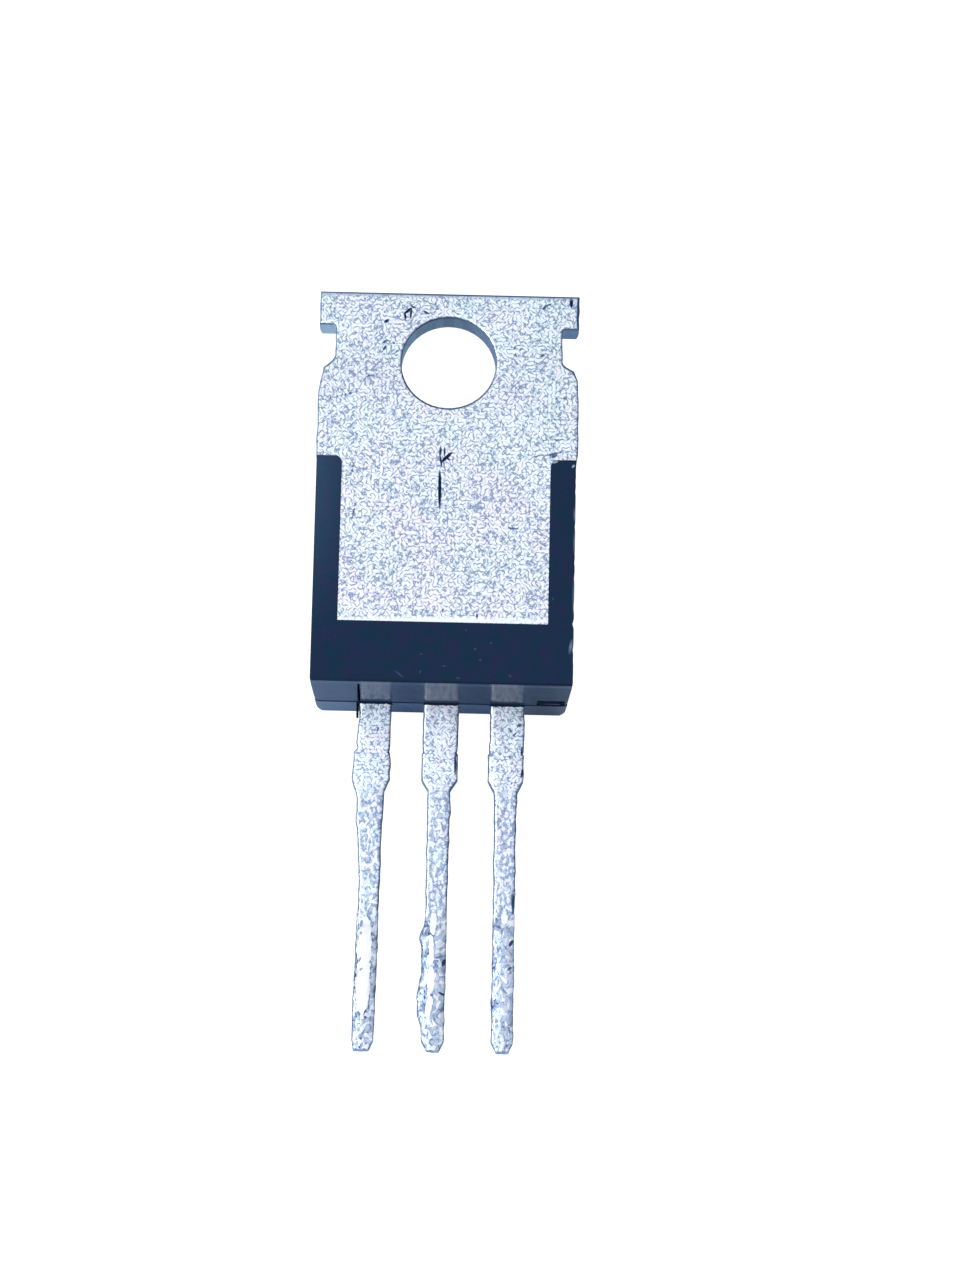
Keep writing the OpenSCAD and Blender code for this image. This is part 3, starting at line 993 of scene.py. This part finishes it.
def select_edges(piece, wanted):
    """Selects the sharp edges whose ends pass the test, and counts them."""

    def find_sharp():
        bpy.ops.mesh.select_all(action="DESELECT")
        bpy.ops.mesh.edges_select_sharp(sharpness=math.radians(SHARP_FROM))

    in_edit_mode(piece, "EDGE", find_sharp)
    mesh = piece.data
    kept = []
    for edge in mesh.edges:
        ends = [mesh.vertices[i].co for i in edge.vertices]
        if edge.select and wanted(*ends):
            kept.append(edge)
    clear_selection(mesh)
    for edge in kept:
        edge.select = True
        for i in edge.vertices:
            mesh.vertices[i].select = True
    return len(kept)


def bevel(piece, wanted, width, segments, clamp=True):
    """Rounds the sharp edges that pass the test."""
    count = select_edges(piece, wanted)

    def cut():
        bpy.ops.mesh.bevel(offset=width, segments=segments, affect="EDGES", clamp_overlap=clamp)

    if count:
        in_edit_mode(piece, "EDGE", cut)
    print(piece.name, "has", count, "edges rounded by", width)


print("edges are sharp from", SHARP_FROM, "degrees")

# %% Slices and pushes
ALONG_X, ALONG_Y, ALONG_Z = range(3)
STILL = Vector((0.0, 0.0, 0.0))


def slice_along(piece, axis, places):
    """Cuts the piece's faces by planes across one axis."""
    normal = [0.0, 0.0, 0.0]
    normal[axis] = 1.0

    def cut():
        for place in places:
            middle = [place * share for share in normal]
            bpy.ops.mesh.select_all(action="SELECT")
            bpy.ops.mesh.bisect(plane_co=middle, plane_no=normal, threshold=WELD)

    in_edit_mode(piece, "VERT", cut)


def steps(low, high, pitch):
    """Evenly spaced places between two ends, without the ends."""
    count = max(1, round((high - low) / pitch))
    return [low + (high - low) * i / count for i in range(1, count)]


def push(piece, shift):
    """Moves each vertex by what shift(point, normal) gives."""
    moves = [shift(vertex.co, vertex.normal) for vertex in piece.data.vertices]
    for vertex, move in zip(piece.data.vertices, moves):
        vertex.co += move
    piece.data.update()


def kept_between(value, low, high):
    return max(low, min(high, value))


def wave(y, seed, size, pitch):
    """Smooth seeded wobble along Y."""
    return size * noise.noise(Vector((y / pitch, seed, 0.0)))


print("a wobble of 1 mm at y = 0.5 moves a point by", wave(0.5, seed=1, size=1.0, pitch=1.0))


# %% [markdown]
# ## The stamped strip
#
# The tab, the pad and pin 2 are one stamping. A punch leaves an edge rolled on both sides
# and never quite straight. The exact edges are found by their place, not picked by hand:
# the rims of the tab's two faces, the rim of the pad, and the long edges of the lead.

# %% Where the strip's edges are
TAB_BOTTOM = -1.3
LEAD_START = -12.93
NEAR = 0.01

strip_low, strip_high = [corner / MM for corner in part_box("tab_and_pin_2_lead")]
mould_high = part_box("moulded_body")[1] / MM


def above_mould(a, b):
    return (a.y + b.y) / 2 > mould_high.y + NEAR


def on_level(a, b, level):
    return abs(a.z - level) < NEAR and abs(b.z - level) < NEAR


def tab_back_edge(a, b):
    return on_level(a, b, 0.0) and above_mould(a, b)


def tab_front_edge(a, b):
    return on_level(a, b, TAB_BOTTOM) and above_mould(a, b)


def pad_edge(a, b):
    return on_level(a, b, 0.0) and not above_mould(a, b)


def lead_edge(a, b):
    return max(a.y, b.y) < LEAD_START + NEAR and abs(a.z - b.z) < NEAR


print("strip from", strip_low, "to", strip_high)

# %% Uneven leads
LEAD_MIDDLE_HALF = 0.25
LEAD_REACH = 1.0
FACE_SKIN = 0.05
FACE_RISE = 0.03


def between_points(y, points):
    """Value at y on a line through (y, value) points, which run towards the tip."""
    for (y_0, value_0), (y_1, value_1) in zip(points, points[1:]):
        if y_1 <= y <= y_0:
            return value_0 + (value_1 - value_0) * (y_0 - y) / (y_0 - y_1)
    return 0.0


def lead_waves(middle_x, seed, left_points, right_points):
    """Push for a lead's edges: a wobble, and the named bends of its two sides."""

    def shift(co, normal):
        if co.y > LEAD_START + NEAR or abs(co.x - middle_x) > LEAD_REACH:
            return STILL
        side = 1 if co.x > middle_x else -1
        share = min(1.0, abs(co.x - middle_x) / LEAD_MIDDLE_HALF)
        points = right_points if side > 0 else left_points
        move = wave(co.y, seed + side, size=0.035, pitch=0.5)
        move += wave(co.y, seed - side, size=0.02, pitch=0.17)
        rise = 0.0
        if co.z > LEAD_TOP - FACE_SKIN:
            rise = FACE_RISE * noise.noise(Vector((co.x / 0.3, co.y / 0.5, seed)))
        return Vector((side * share * (move + between_points(co.y, points)), 0.0, rise))

    return shift


print("lead faces rise and fall by up to", FACE_RISE, "mm")

# %% Uneven tab
ROLL_FROM = -0.5
ROLL_BY = 0.1
SIDE_FROM = 3.8
SIDE_BLEND = 0.5
RIGHT_BULGE_X = 4.5
RIGHT_BULGE_Y = -1.0
RIGHT_BULGE = 0.05
RIGHT_BULGE_BLEND = 0.5


def tab_waves(co, normal):
    """Push for the tab: uneven sides that roll in towards the front."""
    if co.y < mould_high.y:
        return STILL
    side = 1 if co.x > 0 else -1
    share = kept_between((abs(co.x) - SIDE_FROM) / SIDE_BLEND, 0.0, 1.0)
    long_waves = wave(co.y, 5 * side, size=0.04, pitch=0.7)
    move = share * (long_waves + wave(co.y, 7 * side, size=0.02, pitch=0.25))
    if co.x > RIGHT_BULGE_X and co.y < RIGHT_BULGE_Y:
        move += RIGHT_BULGE * min(1.0, (RIGHT_BULGE_Y - co.y) / RIGHT_BULGE_BLEND)
    deep = max(0.0, (ROLL_FROM - co.z) / (ROLL_FROM - TAB_BOTTOM))
    move -= share * ROLL_BY * deep * deep
    return Vector((side * move, 0.0, 0.0))


print("tab sides roll in by", ROLL_BY, "mm")

# %% Tab and pin 2
LEAD_ROLL = 0.12
LEAD_ROLL_STEPS = 4
LEAD_SLICES = steps(-21.4, LEAD_START, pitch=0.22)
LEAD_COLUMNS = (-0.24, -0.12, 0.0, 0.12, 0.24)
TAB_SLICES = steps(mould_high.y, strip_high.y, pitch=0.3)
PIN_2_LEFT = [(-12.9, 0.05), (-14.5, 0.05), (-14.9, 0.0)]
PIN_2_RIGHT = [(-12.9, 0.07), (-14.5, 0.07), (-14.9, 0.0), (-16.9, 0.0), (-17.15, 0.06), (-17.4, 0.0)]

tab = start_piece("tab_and_pin_2_lead", "tab_and_pin_2")
slice_along(tab, ALONG_Y, [LEAD_START])
bevel(tab, tab_back_edge, width=0.13, segments=4)
bevel(tab, tab_front_edge, width=0.16, segments=3)
bevel(tab, pad_edge, width=0.03, segments=1)
bevel(tab, lead_edge, LEAD_ROLL, LEAD_ROLL_STEPS)
slice_along(tab, ALONG_Y, LEAD_SLICES + TAB_SLICES)
slice_along(tab, ALONG_Z, steps(TAB_BOTTOM, ROLL_FROM + 0.2, pitch=0.2))
slice_along(tab, ALONG_X, LEAD_COLUMNS)
push(tab, tab_waves)
push(tab, lead_waves(0.0, 21, PIN_2_LEFT, PIN_2_RIGHT))
finish_piece(tab, "tab_and_pin_2_lead", tin)

# %% [markdown]
# ## The outer leads
#
# Pins 1 and 3 were cut from the same strip, so they are made in the same way. They aren't
# copies of one another: the tool that freed them from the strip left its own nicks on
# each side. Those are given as points along the lead, each with its move outwards.

# %% Pins 1 and 3
PIN_1_LEFT = [(-12.9, 0.02), (-14.9, 0.02), (-15.0, 0.0)]
PIN_1_RIGHT = [(-12.9, 0.06), (-14.6, 0.06), (-14.9, 0.0)]
PIN_3_LEFT = [
    (-13.0, -0.05),
    (-13.6, -0.05),
    (-13.9, 0.03),
    (-14.5, 0.03),
    (-14.95, -0.07),
    (-15.5, -0.04),
    (-16.2, 0.04),
    (-16.75, -0.03),
    (-17.3, 0.0),
    (-17.5, 0.05),
    (-17.7, 0.0),
]
PIN_3_RIGHT = [(-14.7, 0.0), (-14.9, -0.05), (-16.1, -0.05), (-16.3, 0.0)]

for pin, middle_x, left_points, right_points in (
    ("pin_1", LEAD_PITCH, PIN_1_LEFT, PIN_1_RIGHT),
    ("pin_3", -LEAD_PITCH, PIN_3_LEFT, PIN_3_RIGHT),
):
    lead = start_piece(pin + "_lead", pin)
    slice_along(lead, ALONG_Y, [LEAD_START])
    bevel(lead, lead_edge, LEAD_ROLL, LEAD_ROLL_STEPS)
    slice_along(lead, ALONG_Y, LEAD_SLICES)
    slice_along(lead, ALONG_X, [middle_x + column for column in LEAD_COLUMNS])
    push(lead, lead_waves(middle_x, 30 + middle_x, left_points, right_points))
    finish_piece(lead, pin + "_lead", tin)

# %% [markdown]
# ## The moulded body: gaps round the leads
#
# The compound shrank away from each lead as it cooled and left a narrow dark gap round
# it. A dark line painted on would show no depth from the side, so the gap is a real
# notch: a block a little wider than the lead is taken out of the body where the lead
# comes out. The real gap is shallow, and so is the notch.

# %% Gaps round the leads
PARTING = LEAD_TOP
LEAD_BOTTOM = -3.03
GAP_HALF = 0.672
GAP_DEPTH = 0.22
OUTSIDE = LEAD_START - 0.3
PIN_MIDDLES = (-LEAD_PITCH, 0.0, LEAD_PITCH)


def add_block(low, high):
    """A plain block between two corners."""
    bpy.ops.object.select_all(action="DESELECT")
    bpy.ops.mesh.primitive_cube_add(size=1.0, location=(low + high) / 2)
    block = bpy.context.object
    block.dimensions = high - low
    bpy.ops.object.transform_apply(location=True, rotation=False, scale=True)
    return block


def cut_away(piece, cutter):
    """Takes the cutter's shape out of the piece."""
    apply_modifier(piece, "BOOLEAN", object=cutter, operation="DIFFERENCE", solver="EXACT")
    bpy.data.objects.remove(cutter)


mould = start_piece("moulded_body", "mould")
for middle_x in PIN_MIDDLES:
    low = Vector((middle_x - GAP_HALF, OUTSIDE, LEAD_BOTTOM))
    high = Vector((middle_x + GAP_HALF, LEAD_START + GAP_DEPTH, PARTING))
    cut_away(mould, add_block(low, high))
print("gaps cut, faces:", len(mould.data.polygons))

# %% [markdown]
# ## The gate scar and the slit
#
# Compound was pressed into the mould through a gate beside pin 1. Its stub was broken off
# and left a ragged pit with a plug in it. Beside pin 3 a thin slit shows where the two
# halves of the mould met badly. Both are cut like the gaps. The pit's cutter is a flat
# rod that is blunt on the right and ragged on the left.

# %% Gate scar and slit
GATE_X = 4.18
GATE_Z = -2.26
GATE_SIDES = 32
GATE_DEPTH = 0.35
PLUG_DEPTH = 0.4
SLIT_X = -3.14
SLIT_HALF = 0.045
SLIT_DEPTH = 0.5
SLIT_TOP = -0.35
SLIT_BOTTOM = PARTING + 0.02


def gate_block(half_length, half_height, front, back):
    """A flat rod at the gate scar, blunt at its right end and ragged at its left end."""
    bpy.ops.object.select_all(action="DESELECT")
    middle_y = (front + back) / 2
    bpy.ops.mesh.primitive_cylinder_add(
        vertices=GATE_SIDES,
        radius=1.0,
        depth=1.0,
        location=(GATE_X, middle_y, GATE_Z),
        rotation=(math.radians(90), 0.0, 0.0),
    )
    rod = bpy.context.object
    bpy.ops.object.transform_apply(location=True, rotation=True, scale=True)

    def ragged(co, normal):
        along = co.x - GATE_X
        across = co.z - GATE_Z
        blunt = along**0.6 if along > 0 else along
        taper = 0.62 + 0.38 * along + 0.15 * noise.noise(Vector((along * 3.0, across, 2.0)))
        new_x = GATE_X + blunt * half_length
        new_y = middle_y + (back - front) * (co.y - middle_y)
        new_z = GATE_Z + across * taper * half_height
        return Vector((new_x, new_y, new_z)) - co

    push(rod, ragged)
    return rod


pit = gate_block(half_length=0.56, half_height=0.27, front=OUTSIDE, back=LEAD_START + GATE_DEPTH)
cut_away(mould, pit)
slit_low = Vector((SLIT_X - SLIT_HALF, OUTSIDE, SLIT_BOTTOM))
slit_high = Vector((SLIT_X + SLIT_HALF, LEAD_START + SLIT_DEPTH, SLIT_TOP))
cut_away(mould, add_block(slit_low, slit_high))
print("gate scar and slit cut, faces:", len(mould.data.polygons))

# %% [markdown]
# ## Flash at the leads' roots
#
# A little compound crept out of the mould and froze as a thin lip over the root of each
# lead. The body's finish paints the lip near black and matt, which paints the shade at the
# lead's root. Each lip is a thin block with a ragged front. It is joined to the body's mesh
# as it is, with no cut between them, because it only has to be seen from outside.

# %% Flash lips and the gate's plug
LIP_HALF = 0.66
LIP_OUT = 0.08
LIP_IN = 0.06
LIP_THICK = 0.03
LIP_SUNK = 0.005


def flash_lip(middle_x):
    """Thin skin of compound that crept out over the root of one lead."""
    low = Vector((middle_x - LIP_HALF, LEAD_START - LIP_OUT, PARTING - LIP_SUNK))
    high = Vector((middle_x + LIP_HALF, LEAD_START + LIP_IN, PARTING + LIP_THICK))
    lip = add_block(low, high)
    slice_along(lip, ALONG_X, steps(low.x, high.x, pitch=0.08))

    def ragged(co, normal):
        if co.y >= LEAD_START:
            return STILL
        return Vector((0.0, 0.05 * noise.noise(Vector((co.x / 0.12, 4.0, 0.0))), 0.0))

    push(lip, ragged)
    return lip


lips = [flash_lip(middle_x) for middle_x in PIN_MIDDLES]
plug = gate_block(half_length=0.4, half_height=0.075, front=LEAD_START, back=LEAD_START + PLUG_DEPTH)
select_only(mould)
for extra in [plug] + lips:
    extra.select_set(True)
bpy.ops.object.join()
print("lips and plug joined, faces:", len(mould.data.polygons))

# %% [markdown]
# ## The parting ledge and the worn edges
#
# The two halves of the mould met at the leads' upper faces and were a hair out of line,
# so everything below that line stands out as a fine ledge. The body is cut at the line
# and its lower part is pushed out. The long right edge was knocked about, and noise rubs
# it away in places.

# %% Ledge and worn edges
MOULD_END = -12.73
LEDGE = 0.028
LEDGE_SIDE = 0.01
END_FACE_TO = -13.0
FRONT_ROUND_FROM = -3.5
FRONT_ROUND = 0.2
OUTER_FROM_X = 4.9
SIDE_FROM_X = 4.3
WORN_FROM_X = 4.85
WORN_DOWN_TO = -0.2
WORN_BY = 0.07


def mould_back_edge(a, b):
    outer = max(abs(a.x), abs(b.x)) > OUTER_FROM_X or max(a.y, b.y) < MOULD_END + NEAR
    return on_level(a, b, 0.0) and outer


def mould_ledge(co, normal):
    """Moves everything below the parting line out a little, and rounds the sides inwards."""
    move = Vector((0.0, 0.0, 0.0))
    if co.z < PARTING - 0.015:
        if END_FACE_TO < co.y < MOULD_END - 0.05:
            move.y -= LEDGE
        low = max(0.0, FRONT_ROUND_FROM - co.z)
        if abs(co.x) > SIDE_FROM_X:
            move.x = math.copysign(1.0, co.x) * (LEDGE_SIDE - FRONT_ROUND * low * low)
    return move


def worn_right_edge(co, normal):
    """Rubs the long right edge away in places."""
    if co.x < WORN_FROM_X or co.z < WORN_DOWN_TO:
        return STILL
    rub = max(0.0, noise.noise(Vector((co.y / 0.35, 3.0, 0.0)))) * WORN_BY
    return Vector((-rub, 0.0, 0.0))


slice_along(mould, ALONG_Z, [PARTING, PARTING - 0.03] + steps(-4.34, -3.5, pitch=0.14))
bevel(mould, mould_back_edge, width=0.06, segments=3, clamp=False)
slice_along(mould, ALONG_Y, steps(MOULD_END, mould_high.y, pitch=0.2))
push(mould, mould_ledge)
push(mould, worn_right_edge)
finish_piece(mould, "moulded_body", plastic)

# %% [markdown]
# ## The solder on the leads
#
# The solder clings to the ends of the leads as a lumpy skin that is thickest in the
# middle of each face. Metaballs could give the lumps, but not its known outline, which
# the CAD solid has. So the solid is used: the walls against the lead are taken out and
# the shell is closed, a voxel net gives it even small faces, and these are smoothed and
# made lumpy by noise.

# %% Solid solder
TOUCHING = 0.002


def surface_of(node_name):
    """Search tree of a CAD solid, in millimetres."""
    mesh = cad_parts[node_name].data
    points = [vertex.co / MM for vertex in mesh.vertices]
    return BVHTree.FromPolygons(points, [list(face.vertices) for face in mesh.polygons])


def fill_with_solder(piece, lead_surface):
    """Takes out the walls that lie on the lead and closes the open end."""
    clear_selection(piece.data)
    for face in piece.data.polygons:
        distance = lead_surface.find_nearest(face.center)[3]
        face.select = distance < TOUCHING

    def close():
        bpy.ops.mesh.delete(type="FACE")
        bpy.ops.mesh.select_all(action="SELECT")
        bpy.ops.mesh.fill_holes(sides=0)
        bpy.ops.mesh.normals_make_consistent(inside=False)

    in_edit_mode(piece, "FACE", close)


print("walls within", TOUCHING, "mm of the lead are taken out")

# %% Solder skins
COAT_END = -21.05
COAT_FADE = 0.9
COAT_SINK = 0.22
NET_SIZE = 0.03
SMOOTHINGS = 10
BIG_LUMPS = 0.035
SMALL_LUMPS = 0.012
SQUARE_FROM = -26.0
SQUARE_PULL = 0.3
PIN_3_SQUARE_X = -2.7
NOT_SQUARE = -10.0


def lumps(seed, square_x):
    """Push that makes solder lumpy, thins it at the body's end and squares its tip left of square_x."""

    def shift(co, normal):
        big = noise.noise(Vector((co.x / 0.5, co.y / 0.45, seed + co.z / 0.6))) * BIG_LUMPS
        small = noise.noise(Vector((co.x / 0.16, co.y / 0.2, seed + co.z / 0.3))) * SMALL_LUMPS
        fade = kept_between((co.y - (COAT_END - COAT_FADE)) / COAT_FADE, 0.0, 1.0)
        flat = Vector((0.0, 0.0, (LEAD_TOP - 0.25 - co.z) * fade * COAT_SINK))
        if co.x < square_x and co.y < SQUARE_FROM:
            flat.x -= SQUARE_PULL * min(0.3, SQUARE_FROM - co.y)
        return normal * (big + small) * (1 - fade) + flat

    return shift


for pin, lead_node, seed, square_x in (
    ("pin_1", "pin_1_lead", 11.0, NOT_SQUARE),
    ("pin_2", "tab_and_pin_2_lead", 12.0, NOT_SQUARE),
    ("pin_3", "pin_3_lead", 13.0, PIN_3_SQUARE_X),
):
    coat = start_piece(pin + "_solder", pin + "_solder_skin", whole_faces=False)
    fill_with_solder(coat, surface_of(lead_node))
    apply_modifier(coat, "REMESH", mode="VOXEL", voxel_size=NET_SIZE)
    apply_modifier(coat, "SMOOTH", factor=0.5, iterations=SMOOTHINGS)
    push(coat, lumps(seed, square_x))
    finish_piece(coat, pin + "_solder", solder)
